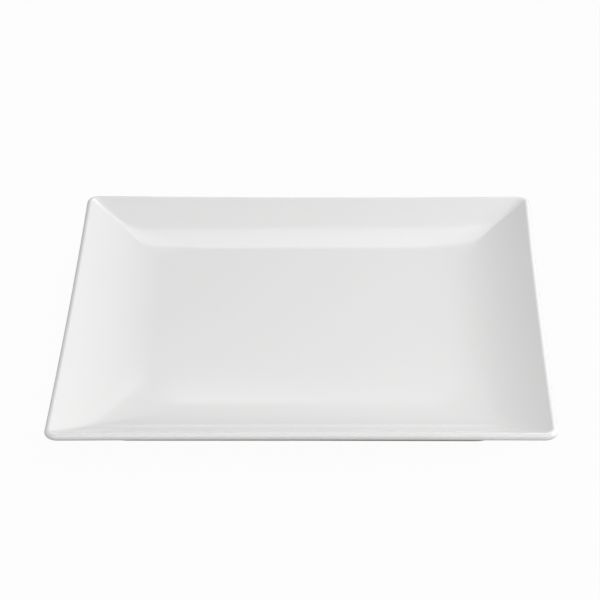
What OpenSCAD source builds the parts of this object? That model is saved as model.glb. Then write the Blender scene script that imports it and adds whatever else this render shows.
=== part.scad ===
// Square dinner plate: one pressed and fired clay body with a square foot ring,
// coated with white glaze on its face, lip and flank, and again inside the foot ring.
// Millimetres, +Z up. The origin is the middle of the plate, on the table.

/* [Plate] */
// Length of each side of the square, over the lip
plate_side = 260; // [230:5:300]
// Radius of the plate's corners, seen from above
rim_corner = 7; // [5:0.5:12]
// Thickness of the rounded lip
lip_thickness = 4; // [3.4:0.1:4.6]

/* [Well] */
// Depth of the well, from the lip's top down to the flat floor
well_depth = 11.8; // [10:0.2:12.6]
// Width of the curved wall, from the plate's edge in to the flat floor
wall_width = 48; // [40:1:60]
// Thickness of the floor, with its glaze on both faces
floor_thickness = 6.4; // [5.4:0.2:7.2]

/* [Underside] */
// Width of the curved flank, from the plate's edge in to the flat underside
flank_width = 54; // [46:1:58]
// Height of the flat underside above the table
foot_height = 4.2; // [3:0.2:6]
// Distance from the plate's edge in to the foot ring's outer face
foot_inset = 27.5; // [26:0.5:34]
// Width of the foot ring's band
foot_width = 6.5; // [5:0.5:8]
// Radius of the foot ring's corners, seen from above
foot_corner = 12; // [9:0.5:20]
// Rounding along the two lower edges of the foot ring
foot_rounding = 1.6; // [1.2:0.1:2]

/* [Glaze] */
// Thickness of the glaze coat
glaze_thickness = 0.4; // [0.3:0.05:0.6]
// Height of the bare clay left at the bottom of the foot ring
bare_height = 1.4; // [1:0.1:2]

/* [Hidden] */
$fn = 128;

// Heights above the table
underside_z = foot_height;
floor_z = underside_z + floor_thickness;
plate_height = floor_z + well_depth;

// The lip is a round rod whose middle line is a square with rounded corners
plate_half = plate_side / 2;
lip_radius = lip_thickness / 2;
lip_half = plate_half - lip_radius;
lip_z = plate_height - lip_radius;
// Where the straight sides end and the corner quarters begin
straight_half = plate_half - rim_corner;

// The lip's round stands a hair proud of the arcs that run into it, so that each seam is clean
seam_share = 0.0005;
contact_radius = lip_radius * (1 - seam_share);

// Radius of an arc that leaves a flat level and runs into the lip; contact is the lip's contact
// radius, positive where the arc passes over the lip and negative where it passes under.
// It is rounded to the fine step, so that the arc's lowest point lies exactly on the flat level
fine_step = 0.001;
function arc_radius(run, rise, contact) =
    fine_step * round((pow(run, 2) + pow(rise, 2) - pow(contact, 2)) / (2 * (rise + contact) * fine_step));

// The wall of the well
wall_start = plate_half - wall_width;
wall_run = lip_half - wall_start;
wall_radius = arc_radius(wall_run, lip_z - floor_z, contact_radius);
wall_slope = asin(wall_run / (wall_radius + contact_radius));

// The flank below it
flank_start = plate_half - flank_width;
flank_run = lip_half - flank_start;
flank_radius = arc_radius(flank_run, lip_z - underside_z, -contact_radius);
flank_slope = asin(flank_run / (flank_radius - contact_radius));

// The foot ring, which runs up into the plate to halfway between the flank and the floor's level
foot_half = plate_half - foot_inset;
foot_inner_half = foot_half - foot_width;
flank_z_at_foot = underside_z + flank_radius - sqrt(pow(flank_radius, 2) - pow(foot_half - flank_start, 2));
foot_top_z = (flank_z_at_foot + floor_z) / 2;

// Cuts run past what they cut by this much
overrun = lip_thickness;

// All that lies above a curve, side on: a flat level between two arcs that rise to the lip
module above_curve(start, level, radius, coat) {
    intersection() {
        translate([-plate_half - overrun, 0])
            square([plate_side + 2 * overrun, plate_height + overrun]);
        union() {
            translate([-start, level])
                square([2 * start, plate_height + overrun]);
            for (side = [-1, 1])
                translate([side * start, level + radius + coat])
                    circle(radius + coat);
        }
    }
}

// The open air above the face, side on; the coat moves it down into the plate
module air_outline(coat) {
    above_curve(wall_start, floor_z - coat, wall_radius, coat);
}

// All that lies above the underside, side on; the coat moves it up into the plate
module above_underside_outline(coat) {
    above_curve(flank_start, underside_z + coat, flank_radius, -coat);
}

// Cut through half the dish, from the plate's middle out to the lip's edge
module side_section(coat) {
    round_radius = lip_radius - coat;
    difference() {
        intersection() {
            above_underside_outline(coat);
            union() {
                square([lip_half - round_radius * sin(wall_slope), plate_height]);
                square([lip_half + round_radius * sin(flank_slope), lip_z]);
            }
        }
        air_outline(coat);
    }
    translate([lip_half, lip_z])
        circle(round_radius);
}

// The outer end of that cut, which turns round the plate's corner
module corner_section(coat) {
    intersection() {
        side_section(coat);
        translate([straight_half, 0])
            square([rim_corner + overrun, plate_height + overrun]);
    }
}

// Seen from above, the part of the plate that belongs to one side, between its two mitres
module side_plan() {
    polygon([
        [0, 0],
        [straight_half, -straight_half],
        [plate_half + overrun, -straight_half],
        [plate_half + overrun, straight_half],
        [straight_half, straight_half]
    ]);
}

// Cut through the foot ring of the bare clay body, down to the table
module clay_foot_section() {
    width = foot_width - 2 * glaze_thickness;
    rounding = foot_rounding - glaze_thickness;
    translate([foot_inner_half + glaze_thickness, 0]) {
        translate([0, rounding])
            square([width, foot_top_z - rounding]);
        translate([rounding, 0])
            square([width - 2 * rounding, foot_top_z]);
        for (across = [rounding, width - rounding])
            translate([across, rounding])
                circle(rounding);
    }
}

// Cut through the foot ring with its glaze, which ends above the bare clay
module glazed_foot_section() {
    translate([foot_inner_half, bare_height])
        square([foot_width, foot_top_z - bare_height]);
}

// The section's run along one side, which reaches as far as straight on both sides of the middle
module along_side(straight) {
    rotate([90, 0, 0])
        linear_extrude(height = 2 * straight, center = true)
            children();
}

// The section's quarter turn round the corner where two straight runs end
module round_corner(straight) {
    translate([straight, straight, 0])
        rotate_extrude(angle = 90)
            translate([-straight, 0])
                children();
}

// The dish without its foot: four sides that meet in mitred creases, and four round corners
module dish(coat) {
    for (quarter = [0:3])
        rotate([0, 0, 90 * quarter]) {
            intersection() {
                along_side(straight_half)
                    side_section(coat);
                linear_extrude(height = plate_height + overrun)
                    side_plan();
            }
            round_corner(straight_half)
                corner_section(coat);
        }
}

// The foot ring, with the section that it is given
module foot_ring() {
    straight = foot_half - foot_corner;
    for (quarter = [0:3])
        rotate([0, 0, 90 * quarter]) {
            along_side(straight)
                children();
            round_corner(straight)
                children();
        }
}

// The clay alone, under its glaze
module clay_form() {
    dish(glaze_thickness);
    foot_ring()
        clay_foot_section();
}

// The whole plate over its glaze, down to where the bare clay starts
module glazed_form() {
    dish(0);
    foot_ring()
        glazed_foot_section();
}

// The space that the middle line of the foot ring goes round, from the table up into the clay
module inside_foot() {
    half = foot_half - foot_width / 2;
    corner = foot_corner - foot_width / 2;
    linear_extrude(height = foot_top_z) {
        square([2 * half, 2 * (half - corner)], center = true);
        square([2 * (half - corner), 2 * half], center = true);
        for (x = [corner - half, half - corner], y = [corner - half, half - corner])
            translate([x, y])
                circle(corner);
    }
}

module clay_body() {
    color("#e9e4da")
        clay_form();
}

module face_glaze() {
    color("#f2f2f1")
        difference() {
            glazed_form();
            clay_form();
            inside_foot();
        }
}

module base_glaze() {
    color("#ededec")
        intersection() {
            difference() {
                glazed_form();
                clay_form();
            }
            inside_foot();
        }
}

clay_body();
face_glaze();
base_glaze();
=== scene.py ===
"""Square dinner plate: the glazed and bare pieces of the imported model, and the studio round them.

Each piece is drawn in section, extruded ring by ring in one quarter, mirrored, and then warped
as the plate warped in its firing.
"""

import math

import bmesh
import bpy
from mathutils import Matrix, Vector


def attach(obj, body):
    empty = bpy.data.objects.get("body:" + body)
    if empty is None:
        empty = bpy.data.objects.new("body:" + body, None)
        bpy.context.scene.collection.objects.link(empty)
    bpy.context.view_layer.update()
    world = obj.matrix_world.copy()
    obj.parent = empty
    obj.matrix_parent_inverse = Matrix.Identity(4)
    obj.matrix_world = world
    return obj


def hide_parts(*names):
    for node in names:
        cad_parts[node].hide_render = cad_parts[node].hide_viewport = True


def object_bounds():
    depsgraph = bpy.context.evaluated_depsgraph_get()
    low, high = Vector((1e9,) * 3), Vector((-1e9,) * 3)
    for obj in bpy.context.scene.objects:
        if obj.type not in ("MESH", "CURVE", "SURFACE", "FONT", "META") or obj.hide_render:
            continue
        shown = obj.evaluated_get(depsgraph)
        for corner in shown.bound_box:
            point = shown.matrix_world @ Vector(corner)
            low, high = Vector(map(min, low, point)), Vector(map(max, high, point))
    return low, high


bl_info = {
    "name": "Square Dinner Plate",
    "version": (1, 0, 0),
    "blender": (4, 5, 0),
    "location": "View3D > Sidebar > Plate",
    "description": "Models a glazed square dinner plate round its packed solids",
    "category": "Add Mesh",
}

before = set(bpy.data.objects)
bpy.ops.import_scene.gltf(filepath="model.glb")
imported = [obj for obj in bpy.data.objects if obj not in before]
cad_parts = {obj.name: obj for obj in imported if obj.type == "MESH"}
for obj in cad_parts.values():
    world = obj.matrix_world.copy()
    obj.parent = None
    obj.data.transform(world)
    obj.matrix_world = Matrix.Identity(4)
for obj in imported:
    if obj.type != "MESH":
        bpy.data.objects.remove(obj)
CAD_LOW, CAD_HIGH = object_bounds()
MM = 0.001

# Steps along the section and round the plan
WALL_STEPS = 24
LIP_STEPS = 24
FLANK_STEPS = 12
FILLET_STEPS = 6
ROUNDING_STEPS = 6
CORNER_STEPS = 12
SIDE_CUTS = 11
WARP_STEPS = 33

# Metres: what lies nearer than NEAR is at the same place, mirrored points join within
# MERGE_DISTANCE, and an edge longer than LONG_EDGE is a straight run of a side
NEAR = 1e-7
MERGE_DISTANCE = 1e-6
LONG_EDGE = 20 * MM

# Width over which the wall's corners close in to the crease, in widths of the wall; width over
# which the flank's corners turn from the foot ring's to the lip's, in rim corner radii; and radius
# of the glaze's lower edge, in thicknesses of the glaze
WALL_BLEND = 0.6
FLANK_BLEND = 2
GLAZE_EDGE = 1.1

# How steeply the parts of the warp grow from the plate's middle out, and the front side's share of
# the sag
DRAW_POWER = 5
SAG_POWER = 8
TWIST_POWER = 4
FRONT_SAG = 0.2


# Sizes and colours that a user would change


class PlateSizes(bpy.types.PropertyGroup):
    """Sizes of the plate"""

    side: bpy.props.FloatProperty(
        name="Side",
        description="Length of each side, over the lip at the corners",
        default=CAD_HIGH.x - CAD_LOW.x,
        subtype="DISTANCE",
        unit="LENGTH",
    )
    height: bpy.props.FloatProperty(
        name="Height",
        description="Height of the corners above the table",
        default=CAD_HIGH.z,
        subtype="DISTANCE",
        unit="LENGTH",
    )
    rim_corner: bpy.props.FloatProperty(
        name="Rim Corner",
        description="Radius of the plate's corners, seen from above",
        default=7 * MM,
        subtype="DISTANCE",
        unit="LENGTH",
    )
    crease: bpy.props.FloatProperty(
        name="Crease",
        description="Radius of the soft crease where two walls meet, seen from above",
        default=3 * MM,
        subtype="DISTANCE",
        unit="LENGTH",
    )
    well_corner: bpy.props.FloatProperty(
        name="Well Corner",
        description="Radius of the corners of the well's floor, seen from above",
        default=24 * MM,
        subtype="DISTANCE",
        unit="LENGTH",
    )
    lip: bpy.props.FloatProperty(
        name="Lip",
        description="Thickness of the rounded lip",
        default=4 * MM,
        subtype="DISTANCE",
        unit="LENGTH",
    )
    floor_height: bpy.props.FloatProperty(
        name="Floor Height",
        description="Height of the well's floor above the table",
        default=10.6 * MM,
        subtype="DISTANCE",
        unit="LENGTH",
    )
    wall: bpy.props.FloatProperty(
        name="Wall",
        description="Width of the curved wall, from the plate's edge in to the floor",
        default=48 * MM,
        subtype="DISTANCE",
        unit="LENGTH",
    )
    flank: bpy.props.FloatProperty(
        name="Flank",
        description="Width of the curved flank, from the plate's edge in to the flat underside",
        default=54 * MM,
        subtype="DISTANCE",
        unit="LENGTH",
    )
    underside: bpy.props.FloatProperty(
        name="Underside",
        description="Height of the flat underside above the table",
        default=4.2 * MM,
        subtype="DISTANCE",
        unit="LENGTH",
    )
    foot_inset: bpy.props.FloatProperty(
        name="Foot Inset",
        description="Distance from the plate's edge in to the foot ring",
        default=27.5 * MM,
        subtype="DISTANCE",
        unit="LENGTH",
    )
    foot_width: bpy.props.FloatProperty(
        name="Foot Width",
        description="Width of the foot ring's band",
        default=6.5 * MM,
        subtype="DISTANCE",
        unit="LENGTH",
    )
    foot_corner: bpy.props.FloatProperty(
        name="Foot Corner",
        description="Radius of the foot ring's corners, seen from above",
        default=12 * MM,
        subtype="DISTANCE",
        unit="LENGTH",
    )
    foot_rounding: bpy.props.FloatProperty(
        name="Foot Rounding",
        description="Rounding along the foot ring's two lower edges",
        default=1.6 * MM,
        subtype="DISTANCE",
        unit="LENGTH",
    )
    foot_fillet: bpy.props.FloatProperty(
        name="Foot Fillet",
        description="Radius of the hollow where the foot ring leaves the underside",
        default=1.5 * MM,
        subtype="DISTANCE",
        unit="LENGTH",
    )
    glaze: bpy.props.FloatProperty(
        name="Glaze",
        description="Thickness of the glaze coat",
        default=0.4 * MM,
        subtype="DISTANCE",
        unit="LENGTH",
    )
    bare: bpy.props.FloatProperty(
        name="Bare Height",
        description="Height of the bare clay at the bottom of the foot ring",
        default=1.4 * MM,
        subtype="DISTANCE",
        unit="LENGTH",
    )
    side_bow: bpy.props.FloatProperty(
        name="Side Bow",
        description="How far the middle of each side drew in when the plate was fired",
        default=0.78 * MM,
        subtype="DISTANCE",
        unit="LENGTH",
    )
    side_sag: bpy.props.FloatProperty(
        name="Side Sag",
        description="How far the middle of each side lies below the corners",
        default=0.6 * MM,
        subtype="DISTANCE",
        unit="LENGTH",
    )
    twist: bpy.props.FloatProperty(
        name="Twist",
        description="How far two opposite corners lie below the other two",
        default=0.6 * MM,
        subtype="DISTANCE",
        unit="LENGTH",
    )


class PlateFinish(bpy.types.PropertyGroup):
    """Colours and gloss of the plate"""

    glaze_colour: bpy.props.FloatVectorProperty(
        name="Glaze",
        description="Colour of the white glaze",
        default=(0.80, 0.80, 0.797),
        size=3,
        subtype="COLOR",
        min=0,
        max=1,
    )
    glaze_roughness: bpy.props.FloatProperty(
        name="Glaze Roughness",
        description="Roughness of the glaze, where 0 is a mirror",
        default=0.07,
        subtype="FACTOR",
        min=0,
        max=1,
    )
    clay_colour: bpy.props.FloatVectorProperty(
        name="Clay",
        description="Colour of the bare fired clay",
        default=(0.72, 0.685, 0.62),
        size=3,
        subtype="COLOR",
        min=0,
        max=1,
    )


class StudioSettings(bpy.types.PropertyGroup):
    """The studio round the plate"""

    floor_colour: bpy.props.FloatVectorProperty(
        name="Floor",
        description="Colour of the floor in the light of the lamps",
        default=(0.5, 0.5, 0.5),
        size=3,
        subtype="COLOR",
        min=0,
        max=1,
    )
    floor_glow: bpy.props.FloatProperty(
        name="Floor Glow",
        description="Share of plain white in the floor, where the camera sees it",
        default=0.96,
        subtype="FACTOR",
        min=0,
        max=1,
    )
    ambient: bpy.props.FloatProperty(
        name="Ambient",
        description="Strength of the even light from all round",
        default=0.35,
        min=0,
        max=1,
    )


# Nodes


class Link:
    """An output socket of a node tree, whose sums and products are Math nodes"""

    def __init__(self, recipe, socket):
        self.recipe = recipe
        self.socket = socket

    def _maths(self, operation, first, second):
        return self.recipe.add("ShaderNodeMath", {"operation": operation}, {0: first, 1: second})

    def __add__(self, other):
        return self._maths("ADD", self, other)

    def __radd__(self, other):
        return self._maths("ADD", other, self)

    def __sub__(self, other):
        return self._maths("SUBTRACT", self, other)

    def __rsub__(self, other):
        return self._maths("SUBTRACT", other, self)

    def __mul__(self, other):
        return self._maths("MULTIPLY", self, other)

    def __rmul__(self, other):
        return self._maths("MULTIPLY", other, self)


class Recipe:
    """A node tree that is written as a list of expressions"""

    def __init__(self, tree):
        self.tree = tree
        tree.nodes.clear()

    def add(self, kind, settings=None, sockets=None, output=0):
        """Adds a node, gives it its settings, then its sockets' values or links, and returns an output"""
        node = self.tree.nodes.new(kind)
        for name, value in (settings or {}).items():
            setattr(node, name, value)
        for key, value in (sockets or {}).items():
            socket = node.inputs[key]
            if isinstance(value, Link):
                self.tree.links.new(value.socket, socket)
            else:
                socket.default_value = value
        return Link(self, node.outputs[output]) if node.outputs else node

    def places(self):
        """The point on the piece, in metres"""
        return self.add("ShaderNodeTexCoord", output="Object")

    def split(self, vector, axis):
        """One part of a vector"""
        return self.add("ShaderNodeSeparateXYZ", sockets={0: vector}, output=axis)

    def noise(self, places, scale, detail=2.0):
        """Cloudy noise from 0 to 1"""
        return self.add("ShaderNodeTexNoise", sockets={"Vector": places, "Scale": scale, "Detail": detail})

    def ramp_between(self, value, low, high):
        """0 where value is under low, 1 where it is over high, with a soft step between"""
        return self.add(
            "ShaderNodeMapRange",
            {"interpolation_type": "SMOOTHSTEP"},
            {"Value": value, "From Min": low, "From Max": high, "To Min": 0.0, "To Max": 1.0},
        )

    def blend(self, share, first, second):
        """first where share is 0, second where it is 1; both are colours"""
        return self.add(
            "ShaderNodeMix",
            {"data_type": "RGBA"},
            {0: share, 6: first, 7: second},
            output=2,
        )

    def skin(self, height):
        """Surface normals of a skin that stands this high, in metres"""
        return self.add("ShaderNodeBump", None, {"Strength": 1.0, "Distance": 1.0, "Height": height})


# The section


def arc_radius(run, rise, contact):
    """Radius of an arc that leaves a flat level and touches the lip's round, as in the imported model"""
    return (run * run + rise * rise - contact * contact) / (2 * (rise + contact))


def smooth_share(value):
    """0 under 0, 1 over 1, with a soft step between"""
    share = min(max(value, 0), 1)
    return share * share * (3 - 2 * share)


def arc_points(centre, radius, first, last, steps):
    """Points along an arc of the section, from one angle to another, in radians"""
    points = []
    for step in range(steps + 1):
        angle = first + (last - first) * step / steps
        points.append((centre[0] + radius * math.cos(angle), centre[1] + radius * math.sin(angle)))
    return points


class Section:
    """The plate cut through the middle of a side: curves from the middle out, and how its corners turn"""

    def __init__(self, sizes, coat=0.0):
        self.sizes = sizes
        self.coat = coat
        self.half = sizes.side / 2
        lip = sizes.lip / 2
        self.lip_centre = (self.half - lip, sizes.height - lip)
        self.wall_start = self.half - sizes.wall
        self.flank_start = self.half - sizes.flank
        self.foot_half = self.half - sizes.foot_inset
        self.foot_inner = self.foot_half - sizes.foot_width
        wall_run = self.lip_centre[0] - self.wall_start
        flank_run = self.lip_centre[0] - self.flank_start
        self.wall_radius = arc_radius(wall_run, self.lip_centre[1] - sizes.floor_height, lip)
        self.flank_radius = arc_radius(flank_run, self.lip_centre[1] - sizes.underside, -lip)
        self.wall_slope = math.asin(wall_run / (self.wall_radius + lip))
        self.flank_slope = math.asin(flank_run / (self.flank_radius - lip))
        self.flank_centre = (self.flank_start, sizes.underside + self.flank_radius)

    def wall(self):
        """From the floor's edge up to the lip"""
        centre = (self.wall_start, self.sizes.floor_height + self.wall_radius)
        down = -math.pi / 2
        return arc_points(centre, self.wall_radius + self.coat, down, down + self.wall_slope, WALL_STEPS)

    def lip(self):
        """Over the lip and round under it"""
        radius = self.sizes.lip / 2 - self.coat
        first = math.pi / 2 + self.wall_slope
        return arc_points(self.lip_centre, radius, first, self.flank_slope - math.pi / 2, LIP_STEPS)

    def hollow(self, foot_face, side):
        """Centre of the hollow beside a face of the foot ring, and the flank's slope where it starts"""
        across = foot_face + side * self.sizes.foot_fillet
        reach = self.flank_radius + self.sizes.foot_fillet
        slope = math.asin((across - self.flank_start) / reach)
        return (across, self.flank_centre[1] - reach * math.cos(slope)), slope

    def flank(self):
        """From the lip in to the hollow outside the foot ring, and round that to the foot's outer face"""
        centre, slope = self.hollow(self.foot_half, 1)
        down = -math.pi / 2
        reach = self.flank_radius - self.coat
        points = arc_points(self.flank_centre, reach, down + self.flank_slope, down + slope, FLANK_STEPS)
        radius = self.sizes.foot_fillet + self.coat
        return points + arc_points(centre, radius, math.pi / 2 + slope, math.pi, FILLET_STEPS)

    def inner_flank(self):
        """From the flat underside out to the hollow inside the foot ring, and round that"""
        centre, slope = self.hollow(self.foot_inner, -1)
        down = -math.pi / 2
        reach = self.flank_radius - self.coat
        points = arc_points(self.flank_centre, reach, down, down + slope, FLANK_STEPS)
        radius = self.sizes.foot_fillet + self.coat
        return points + arc_points(centre, radius, math.pi / 2 + slope, 0, FILLET_STEPS)

    def glaze_edge(self, foot_face, side):
        """Down a face of the foot ring to where the glaze runs out, in a soft edge"""
        radius = GLAZE_EDGE * self.sizes.glaze
        centre = (foot_face - side * radius, self.sizes.bare + radius)
        first = 0 if side > 0 else -math.pi
        return arc_points(centre, radius, first, -math.pi / 2, ROUNDING_STEPS)

    def foot(self):
        """Round the bare foot ring, from its outer face to its inner one"""
        radius = self.sizes.foot_rounding - self.coat
        outer = (self.foot_half - self.coat - radius, radius)
        inner = (self.foot_inner + self.coat + radius, radius)
        return arc_points(outer, radius, 0, -math.pi / 2, ROUNDING_STEPS) + arc_points(
            inner, radius, -math.pi / 2, -math.pi, ROUNDING_STEPS
        )

    def crease(self, half):
        """Corner radius, seen from above, of a ring whose sides lie this far out: wide at the floor, a
        soft crease up the wall, and the plate's corner at the lip"""
        crease = self.sizes.crease
        corner = self.sizes.rim_corner
        soft = crease / 2
        turn = half - (self.half - corner) - soft * soft / (corner - crease)
        radius = (crease + turn + math.hypot(turn - crease, 2 * soft)) / 2
        share = smooth_share((half - self.wall_start) / (WALL_BLEND * self.sizes.wall))
        return radius + (self.sizes.well_corner - crease) * (1 - share)

    def foot_corner(self, half):
        """The same for the foot ring, whose corners turn round one centre"""
        return max(self.sizes.foot_corner - (self.foot_half - half), self.sizes.crease)

    def flank_corner(self, half):
        """The same for the flank, from the foot ring's corner out to the lip's"""
        near = self.foot_half + self.sizes.foot_fillet
        share = smooth_share((half - near) / (FLANK_BLEND * self.sizes.rim_corner))
        foot = self.foot_corner(half)
        return foot + (self.crease(half) - foot) * share


# Modelling


def drop_selection():
    """Leaves edit mode and deselects every object"""
    if bpy.context.object and bpy.context.object.mode != "OBJECT":
        bpy.ops.object.mode_set(mode="OBJECT")
    bpy.ops.object.select_all(action="DESELECT")


def pick(piece, kind, wanted):
    """In edit mode, selects exactly the vertices or edges that wanted accepts"""
    bpy.ops.mesh.select_mode(type=kind)
    bpy.ops.mesh.select_all(action="DESELECT")
    shape = bmesh.from_edit_mesh(piece.data)
    for part in {"VERT": shape.verts, "EDGE": shape.edges}[kind]:
        if wanted(part):
            part.select_set(True)
    shape.select_flush_mode()
    bmesh.update_edit_mesh(piece.data)


def start_quarter(name, half, corner, height):
    """A flat quarter of the plate with one rounded corner, from which the rings are extruded"""
    drop_selection()
    bpy.ops.mesh.primitive_plane_add(size=half, location=(half / 2, half / 2, height))
    piece = bpy.context.object
    piece.name = name
    piece.data.name = name
    bpy.ops.object.transform_apply(location=True, rotation=True, scale=True)
    bpy.ops.object.mode_set(mode="EDIT")
    outer = half - NEAR
    pick(piece, "VERT", lambda v: v.co.x > outer and v.co.y > outer)
    bpy.ops.mesh.bevel(offset=corner, segments=CORNER_STEPS, affect="VERTICES")
    pick(piece, "EDGE", lambda e: all((e.verts[0].co + e.verts[1].co)[axis] > NEAR for axis in (0, 1)))
    bpy.ops.mesh.select_mode(type="VERT")
    return piece


def next_ring(piece, old, new):
    """Extrudes the selected outer edge of the quarter to the next ring; a ring is how far out its
    sides lie, its corner radius and its height"""
    rise = Vector((0, 0, new[2] - old[2]))
    bpy.ops.mesh.extrude_edges_move(TRANSFORM_OT_translate={"value": rise})
    shape = bmesh.from_edit_mesh(piece.data)
    ring = {v.index for v in shape.verts if v.select}
    old_centre = old[0] - old[1]
    new_centre = new[0] - new[1]
    pick(piece, "VERT", lambda v: v.index in ring and v.co.x > NEAR and v.co.y > NEAR)
    factor = new[1] / old[1]
    bpy.ops.transform.resize(value=(factor, factor, 1), center_override=(old_centre, old_centre, new[2]))
    shift = new_centre - old_centre
    bpy.ops.transform.translate(value=(shift, shift, 0))
    for axis in (0, 1):
        pick(piece, "VERT", lambda v: v.index in ring and v.co[1 - axis] <= NEAR)
        move = Vector((0, 0, 0))
        move[axis] = new[0] - old[0]
        bpy.ops.transform.translate(value=move)
    pick(piece, "VERT", lambda v: v.index in ring)


def grow_rings(piece, rings):
    """Extrudes the quarter through the rings, leaving out those that lie where the last one does"""
    last = rings[0]
    for ring in rings[1:]:
        if max(abs(ring[0] - last[0]), abs(ring[2] - last[2])) > NEAR:
            next_ring(piece, last, ring)
            last = ring


def divide_sides(piece):
    """Divides the straight runs between the corners"""

    def straight(edge):
        run = edge.verts[1].co - edge.verts[0].co
        return run.length > LONG_EDGE and abs(run.z) < NEAR and min(abs(run.x), abs(run.y)) < NEAR

    pick(piece, "EDGE", straight)
    bpy.ops.mesh.subdivide(number_cuts=SIDE_CUTS)


def apply_modifier(piece, kind, **settings):
    """Adds a modifier with its settings and applies it"""
    bpy.context.view_layer.objects.active = piece
    bpy.ops.object.modifier_add(type=kind)
    modifier = piece.modifiers[-1]
    for name, value in settings.items():
        setattr(modifier, name, value)
    bpy.ops.object.modifier_apply(modifier=modifier.name)


def mirror_quarter(piece):
    """Makes the whole plate from its quarter"""
    bpy.ops.object.mode_set(mode="OBJECT")
    apply_modifier(
        piece,
        "MIRROR",
        use_axis=(True, True, False),
        use_mirror_merge=True,
        merge_threshold=MERGE_DISTANCE,
    )


def warp(piece, sizes):
    """Draws in and lowers the middle of each side and twists the rim a little, as the plate did in its
    firing. The floor stays nearly flat and the foot ring stays on the table"""
    drop_selection()
    bpy.ops.object.add(type="LATTICE", location=(0, 0, sizes.height / 2))
    cage = bpy.context.object
    cage.scale = (sizes.side, sizes.side, sizes.height)
    cage.data.points_u = WARP_STEPS
    cage.data.points_v = WARP_STEPS
    cage.data.points_w = 2
    cage.data.interpolation_type_w = "KEY_LINEAR"
    for point in cage.data.points:
        across, along = 2 * point.co.x, 2 * point.co.y
        level = point.co.z + 0.5
        middle_x, middle_y = 1 - along * along, 1 - across * across
        draw_x, draw_y = (
            level * abs(way) ** DRAW_POWER + (1 - level) * way * way for way in (across, along)
        )
        share = 1.0 if along > 0 else FRONT_SAG
        sag = across**SAG_POWER * middle_x + along**SAG_POWER * middle_y * share
        rim = across**TWIST_POWER + along**TWIST_POWER - (across * along) ** TWIST_POWER
        low = sizes.side_sag * sag + sizes.twist * rim * (1 + across * along) / 2
        shift = Vector(
            (
                -math.copysign(draw_x * middle_x, across) * sizes.side_bow / sizes.side,
                -math.copysign(draw_y * middle_y, along) * sizes.side_bow / sizes.side,
                -low * level / sizes.height,
            )
        )
        point.co_deform = Vector(point.co) + shift
    bpy.context.view_layer.update()
    drop_selection()
    piece.select_set(True)
    apply_modifier(piece, "LATTICE", object=cage)
    bpy.data.objects.remove(cage)


def close_piece(piece):
    """Fills the open edge of the piece with one face"""
    bpy.ops.object.mode_set(mode="EDIT")
    pick(piece, "EDGE", lambda e: e.is_boundary)
    bpy.ops.mesh.edge_face_add()
    bpy.ops.object.mode_set(mode="OBJECT")


def turn_outwards(piece, wanted):
    """Flips the faces if the largest of them doesn't face the wanted way"""
    face = max(piece.data.polygons, key=lambda p: p.area)
    if face.normal.dot(wanted) < 0:
        bpy.ops.object.mode_set(mode="EDIT")
        bpy.ops.mesh.select_all(action="SELECT")
        bpy.ops.mesh.flip_normals()
        bpy.ops.object.mode_set(mode="OBJECT")


def finish_piece(piece, material, node):
    """Smooths the piece, gives it its material and lets it stand for its node"""
    drop_selection()
    piece.select_set(True)
    bpy.context.view_layer.objects.active = piece
    bpy.ops.object.shade_smooth()
    piece.data.materials.clear()
    piece.data.materials.append(material)
    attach(piece, "root")
    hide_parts(node)


# Materials

# How fine the patterns of the glaze and of the clay are
CLOUD_SCALE = 14.0
SPECK_SCALE = 90.0
GLOSS_SCALE = 60.0
WAVE_SCALE = 22.0
PEEL_SCALE = 420.0
GRAIN_SCALE = 2600.0
MOTTLE_SCALE = 70.0
SCUFF_SCALE = 240.0

# Heights between which the looks change, in metres: down from the plate's top and a little past
# it, up from the underside, and up from the table
CREST_DEPTH = 1.4 * MM
CREST_MARGIN = 0.1 * MM
POOL_DEPTH = 3.4 * MM
WORN_BAND = (0.05 * MM, 0.5 * MM)

# Tints, and how strongly the glaze or the clay takes on each of them
CREST_TINT = (0.79, 0.785, 0.77, 1)
CREST_SHARE = 0.5
POOL_TINT = (0.76, 0.775, 0.785, 1)
POOL_SHARE = 0.4
SPECK_TINT = (0.45, 0.42, 0.38, 1)
SPECK_SHARE = 0.5
MOTTLE_TINT = (0.66, 0.61, 0.54, 1)
MOTTLE_SHARE = 0.35
SCUFF_TINT = (0.45, 0.44, 0.42, 1)
SCUFF_SHARE = 0.35

# Brightness of the clouds and of the grain's two ends, beside the plain colour
CLOUD_SHADE = 0.985
GRAIN_SHADES = (0.95, 1.03)

# Steps of the patterns: a speck's edge, which cells have a speck, and where the clay is scuffed
SPECK_EDGE = (0.012, 0.03)
SPECK_CHANCE = (0.90, 0.92)
SCUFF_STEP = (0.5, 0.62)

# Gloss, and heights of the skin's unevenness in metres
GLAZE_IOR = 1.5
GLOSS_SPREAD = 0.03
CLAY_ROUGHNESS = 0.82
WORN_GLOSS = 0.18
GRAIN_ROUGHNESS = 0.06
WAVE_HEIGHT = 0.00002
PEEL_HEIGHT = 0.0000008
GRAIN_HEIGHT = 0.00003


def new_recipe(name):
    """An empty node material and its recipe"""
    material = bpy.data.materials.new(name)
    material.use_nodes = True
    return material, Recipe(material.node_tree)


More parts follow.
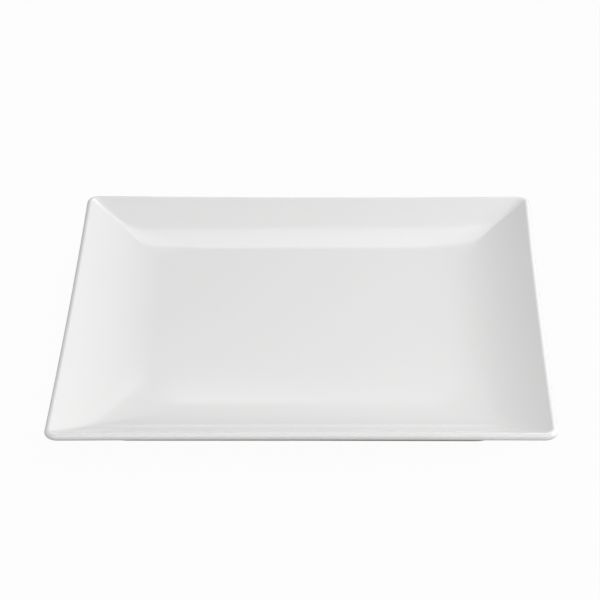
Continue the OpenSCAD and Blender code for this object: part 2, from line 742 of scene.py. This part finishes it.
def white_glaze(finish, sizes):
    """Glossy white glaze: faint cloudiness, thinner and warmer on the lip's crest, deeper and cooler
    where it pooled, a few tiny specks, and a skin that isn't quite even"""
    material, recipe = new_recipe("white_glaze")
    places = recipe.places()
    height = recipe.split(places, 2)
    cloud = recipe.noise(places, CLOUD_SCALE)
    crest = recipe.ramp_between(height, sizes.height - CREST_DEPTH, sizes.height + CREST_MARGIN)
    pooled = 1 - recipe.ramp_between(height, sizes.underside, sizes.underside + POOL_DEPTH)
    cells = {"Vector": places, "Scale": SPECK_SCALE}
    distance, cell_colour = (
        recipe.add("ShaderNodeTexVoronoi", {"feature": "F1"}, cells, output)
        for output in ("Distance", "Color")
    )
    chance = recipe.ramp_between(recipe.split(cell_colour, 0), *SPECK_CHANCE)
    speck = (1 - recipe.ramp_between(distance, *SPECK_EDGE)) * chance
    plain = tuple(finish.glaze_colour)
    colour = recipe.blend(cloud, (*plain, 1), (*(CLOUD_SHADE * part for part in plain), 1))
    colour = recipe.blend(crest * CREST_SHARE, colour, CREST_TINT)
    colour = recipe.blend(pooled * POOL_SHARE, colour, POOL_TINT)
    colour = recipe.blend(speck * SPECK_SHARE, colour, SPECK_TINT)
    roughness = finish.glaze_roughness + recipe.noise(places, GLOSS_SCALE) * GLOSS_SPREAD
    wave = recipe.noise(places, WAVE_SCALE, detail=1.0)
    peel = recipe.noise(places, PEEL_SCALE, detail=1.0)
    shader = recipe.add(
        "ShaderNodeBsdfPrincipled",
        None,
        {
            "Base Color": colour,
            "Roughness": roughness,
            "Normal": recipe.skin(wave * WAVE_HEIGHT + peel * PEEL_HEIGHT),
            "IOR": GLAZE_IOR,
        },
    )
    recipe.add("ShaderNodeOutputMaterial", None, {"Surface": shader})
    return material


def fired_clay(finish):
    """Bare fired clay: fine grain, faint mottling, and the ground face that stands on the table worn
    smoother and a little greyer"""
    material, recipe = new_recipe("fired_clay")
    places = recipe.places()
    height = recipe.split(places, 2)
    grain = recipe.noise(places, GRAIN_SCALE)
    mottle = recipe.noise(places, MOTTLE_SCALE)
    worn = 1 - recipe.ramp_between(height, *WORN_BAND)
    scuff = recipe.ramp_between(recipe.noise(places, SCUFF_SCALE, detail=4.0), *SCUFF_STEP) * worn
    dark, light = ((*(shade * part for part in finish.clay_colour), 1) for shade in GRAIN_SHADES)
    colour = recipe.blend(grain, dark, light)
    colour = recipe.blend(mottle * MOTTLE_SHARE, colour, MOTTLE_TINT)
    colour = recipe.blend(scuff * SCUFF_SHARE, colour, SCUFF_TINT)
    roughness = CLAY_ROUGHNESS - worn * WORN_GLOSS + grain * GRAIN_ROUGHNESS
    skin = recipe.skin(grain * GRAIN_HEIGHT)
    shader = recipe.add(
        "ShaderNodeBsdfPrincipled", None, {"Base Color": colour, "Roughness": roughness, "Normal": skin}
    )
    recipe.add("ShaderNodeOutputMaterial", None, {"Surface": shader})
    return material


def seen_directly(recipe):
    """1 for rays that come straight from the camera, else 0"""
    return recipe.add("ShaderNodeLightPath", output="Is Camera Ray")


def studio_floor(studio):
    """Pale floor, which shows nearly white but keeps the plate's shadow"""
    material, recipe = new_recipe("studio_floor")
    paper = recipe.add("ShaderNodeBsdfDiffuse", None, {"Color": (*studio.floor_colour, 1)})
    white = recipe.add("ShaderNodeEmission", None, {"Color": (1, 1, 1, 1), "Strength": 1.0})
    share = seen_directly(recipe) * studio.floor_glow
    shader = recipe.add("ShaderNodeMixShader", None, {0: share, 1: paper, 2: white})
    recipe.add("ShaderNodeOutputMaterial", None, {"Surface": shader})
    return material


# Operators


def rings_of(points, corner):
    """Rings through the points of a section, each with the corner radius that corner gives it"""
    return [(half, corner(half), height) for half, height in points]


def with_flat(sizes, points):
    """The points of a section, after one more on the flat just inside the first"""
    return [(points[0][0] - sizes.crease, points[0][1])] + points


def model_quarter(name, rings, sizes):
    """The plate's surface through these rings, from one quarter to the whole, and warped"""
    piece = start_quarter(name, *rings[0])
    grow_rings(piece, rings)
    divide_sides(piece)
    mirror_quarter(piece)
    warp(piece, sizes)
    return piece


def check_closed(piece):
    """Raises an error if the piece isn't closed"""
    shape = bmesh.new()
    shape.from_mesh(piece.data)
    open_edges = sum(not edge.is_manifold for edge in shape.edges)
    shape.free()
    if open_edges:
        raise RuntimeError(f"{piece.name} has {open_edges} open edges")


def face_rings(section):
    """Rings over the well, the lip and the flank down to the foot ring, from a flat ring on the floor"""
    face = rings_of(with_flat(section.sizes, section.wall()) + section.lip(), section.crease)
    return face + rings_of(section.flank(), section.flank_corner)


class MESH_OT_plate_clay_body(bpy.types.Operator):
    """Model the clay body with its foot ring, which shows only below the glaze"""

    bl_idname = "mesh.plate_clay_body"
    bl_label = "Clay Body"
    bl_options = {"REGISTER", "UNDO"}

    def execute(self, context):
        sizes = context.scene.plate_sizes
        section = Section(sizes, sizes.glaze)
        rings = face_rings(section) + rings_of(section.foot(), section.foot_corner)
        inside = with_flat(sizes, section.inner_flank())
        rings += rings_of(reversed(inside), section.foot_corner)
        piece = model_quarter("clay_body_fired", rings, sizes)
        close_piece(piece)
        turn_outwards(piece, Vector((0, 0, -1)))
        check_closed(piece)
        finish_piece(piece, fired_clay(context.scene.plate_finish), "clay_body")
        return {"FINISHED"}


class MESH_OT_plate_face_glaze(bpy.types.Operator):
    """Model the glaze on the face, the lip and the flank, which runs out on the foot ring's outer face"""

    bl_idname = "mesh.plate_face_glaze"
    bl_label = "Face Glaze"
    bl_options = {"REGISTER", "UNDO"}

    def execute(self, context):
        sizes = context.scene.plate_sizes
        section = Section(sizes)
        rings = face_rings(section)
        rings += rings_of(section.glaze_edge(section.foot_half, 1), section.foot_corner)
        piece = model_quarter("face_glaze_coat", rings, sizes)
        turn_outwards(piece, Vector((0, 0, 1)))
        apply_modifier(piece, "SOLIDIFY", thickness=sizes.glaze, offset=-1, use_even_offset=True)
        check_closed(piece)
        finish_piece(piece, white_glaze(context.scene.plate_finish, sizes), "face_glaze")
        return {"FINISHED"}


class MESH_OT_plate_base_glaze(bpy.types.Operator):
    """Model the glaze inside the foot ring"""

    bl_idname = "mesh.plate_base_glaze"
    bl_label = "Base Glaze"
    bl_options = {"REGISTER", "UNDO"}

    def execute(self, context):
        sizes = context.scene.plate_sizes
        section = Section(sizes)
        points = with_flat(sizes, section.inner_flank()) + section.glaze_edge(section.foot_inner, -1)
        piece = model_quarter("base_glaze_coat", rings_of(points, section.foot_corner), sizes)
        turn_outwards(piece, Vector((0, 0, -1)))
        apply_modifier(piece, "SOLIDIFY", thickness=sizes.glaze, offset=-1, use_even_offset=True)
        check_closed(piece)
        glaze = bpy.data.materials.get("white_glaze") or white_glaze(context.scene.plate_finish, sizes)
        finish_piece(piece, glaze, "base_glaze")
        return {"FINISHED"}


# Softboxes: name, turn from straight behind towards the right and rise (degrees), distance, width
# and height (metres), brightness where 1 is white
SOFTBOXES = (
    ("key", 65, 18, 1.3, 0.8, 0.5, 6.15),
    ("side", 95, 20, 0.7, 0.9, 0.35, 1.8),
    ("back", 11, 44.7, 3.0, 1.6, 1.15, 1.12),
    ("right_wing", 24, 50, 1.3, 0.35, 0.22, 2.4),
    ("left_wing", -31, 49, 1.3, 0.35, 0.28, 3.4),
    ("top", 180, 72, 1.3, 1.2, 0.7, 0.5),
    ("fill", 180, 45, 1.3, 1.6, 0.7, 2.2),
)

# Side of the studio's floor, in metres
FLOOR_SIDE = 12

# The photograph's camera: where it aims and how far off it stands (metres), its angles to the right
# of the plate's front and above the table, and its roll (degrees), its sensor's width and focal
# length (millimetres), and the picture's shift (sensor widths)
CAMERA_AIM = (0, 0, 19.8 * MM)
CAMERA_DISTANCE = 1.4193
CAMERA_ANGLES = (1.228, 30.24, -0.592)
SENSOR_WIDTH = 36
FOCAL_LENGTH = 155.74
SHIFT_X = -0.0077
SHIFT_Y = 0.01576


class SCENE_OT_plate_studio(bpy.types.Operator):
    """Set up the floor, the softboxes, the even light and the camera"""

    bl_idname = "scene.plate_studio"
    bl_label = "Studio"
    bl_options = {"REGISTER", "UNDO"}

    def execute(self, context):
        scene = context.scene
        studio = scene.plate_studio
        drop_selection()
        bpy.ops.mesh.primitive_plane_add(size=FLOOR_SIDE, location=(0, 0, 0))
        floor = bpy.context.object
        floor.name = "studio_floor"
        floor.data.materials.append(studio_floor(studio))
        self.light_world(scene, studio)
        for softbox in SOFTBOXES:
            self.hang_softbox(*softbox)
        self.place_camera(scene)
        scene.view_settings.view_transform = "Standard"
        return {"FINISHED"}

    @staticmethod
    def light_world(scene, studio):
        """Even light all round, and a white backdrop where the camera sees it"""
        world = bpy.data.worlds.new("studio")
        world.use_nodes = True
        recipe = Recipe(world.node_tree)
        strength = studio.ambient + seen_directly(recipe) * (1.0 - studio.ambient)
        light = recipe.add("ShaderNodeBackground", None, {"Color": (1, 1, 1, 1), "Strength": strength})
        recipe.add("ShaderNodeOutputWorld", None, {"Surface": light})
        scene.world = world

    @staticmethod
    def hang_softbox(name, turn, rise, distance, width, height, brightness):
        """A rectangular softbox that faces the plate"""
        drop_selection()
        turn, rise = math.radians(turn), math.radians(rise)
        way = Vector((math.sin(turn) * math.cos(rise), math.cos(turn) * math.cos(rise), math.sin(rise)))
        bpy.ops.object.light_add(type="AREA", location=way * distance)
        lamp = bpy.context.object
        lamp.name = f"softbox_{name}"
        lamp.rotation_euler = way.to_track_quat("Z", "Y").to_euler()
        lamp.data.shape = "RECTANGLE"
        lamp.data.size = width
        lamp.data.size_y = height
        lamp.data.energy = brightness * width * height * math.pi

    @staticmethod
    def place_camera(scene):
        """The photograph's view: a long lens, 30 degrees above the table"""
        turn, rise, roll = (math.radians(angle) for angle in CAMERA_ANGLES)
        back = Vector((math.sin(turn) * math.cos(rise), -math.cos(turn) * math.cos(rise), math.sin(rise)))
        bpy.ops.object.camera_add(location=Vector(CAMERA_AIM) + back * CAMERA_DISTANCE)
        camera = bpy.context.object
        camera.name = "photo_camera"
        facing = (-back).to_track_quat("-Z", "Y").to_matrix().to_4x4()
        camera.matrix_world = Matrix.Translation(camera.location) @ facing @ Matrix.Rotation(roll, 4, "Z")
        camera.data.sensor_width = SENSOR_WIDTH
        camera.data.lens = FOCAL_LENGTH
        camera.data.shift_x = SHIFT_X
        camera.data.shift_y = SHIFT_Y
        scene.camera = camera


class VIEW3D_PT_square_plate(bpy.types.Panel):
    """Lists the plate's pieces, its sizes and its studio"""

    bl_label = "Square Dinner Plate"
    bl_idname = "VIEW3D_PT_square_plate"
    bl_space_type = "VIEW_3D"
    bl_region_type = "UI"
    bl_category = "Plate"

    def draw(self, context):
        layout = self.layout
        for group in (context.scene.plate_sizes, context.scene.plate_finish, context.scene.plate_studio):
            box = layout.box()
            for name in group.__annotations__:
                box.prop(group, name)
        for operator in OPERATORS:
            layout.operator(operator.bl_idname)


OPERATORS = (
    MESH_OT_plate_clay_body,
    MESH_OT_plate_face_glaze,
    MESH_OT_plate_base_glaze,
    SCENE_OT_plate_studio,
)
CLASSES = (PlateSizes, PlateFinish, StudioSettings, *OPERATORS, VIEW3D_PT_square_plate)


def register():
    """Registers the classes and hangs the settings on the scene"""
    for part in CLASSES:
        bpy.utils.register_class(part)
    bpy.types.Scene.plate_sizes = bpy.props.PointerProperty(type=PlateSizes)
    bpy.types.Scene.plate_finish = bpy.props.PointerProperty(type=PlateFinish)
    bpy.types.Scene.plate_studio = bpy.props.PointerProperty(type=StudioSettings)


def unregister():
    """Takes the settings and the classes away again"""
    del bpy.types.Scene.plate_studio
    del bpy.types.Scene.plate_finish
    del bpy.types.Scene.plate_sizes
    for part in reversed(CLASSES):
        bpy.utils.unregister_class(part)


def main():
    """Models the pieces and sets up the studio"""
    register()
    bpy.ops.mesh.plate_clay_body()
    bpy.ops.mesh.plate_face_glaze()
    bpy.ops.mesh.plate_base_glaze()
    bpy.ops.scene.plate_studio()


if __name__ == "__main__":
    main()
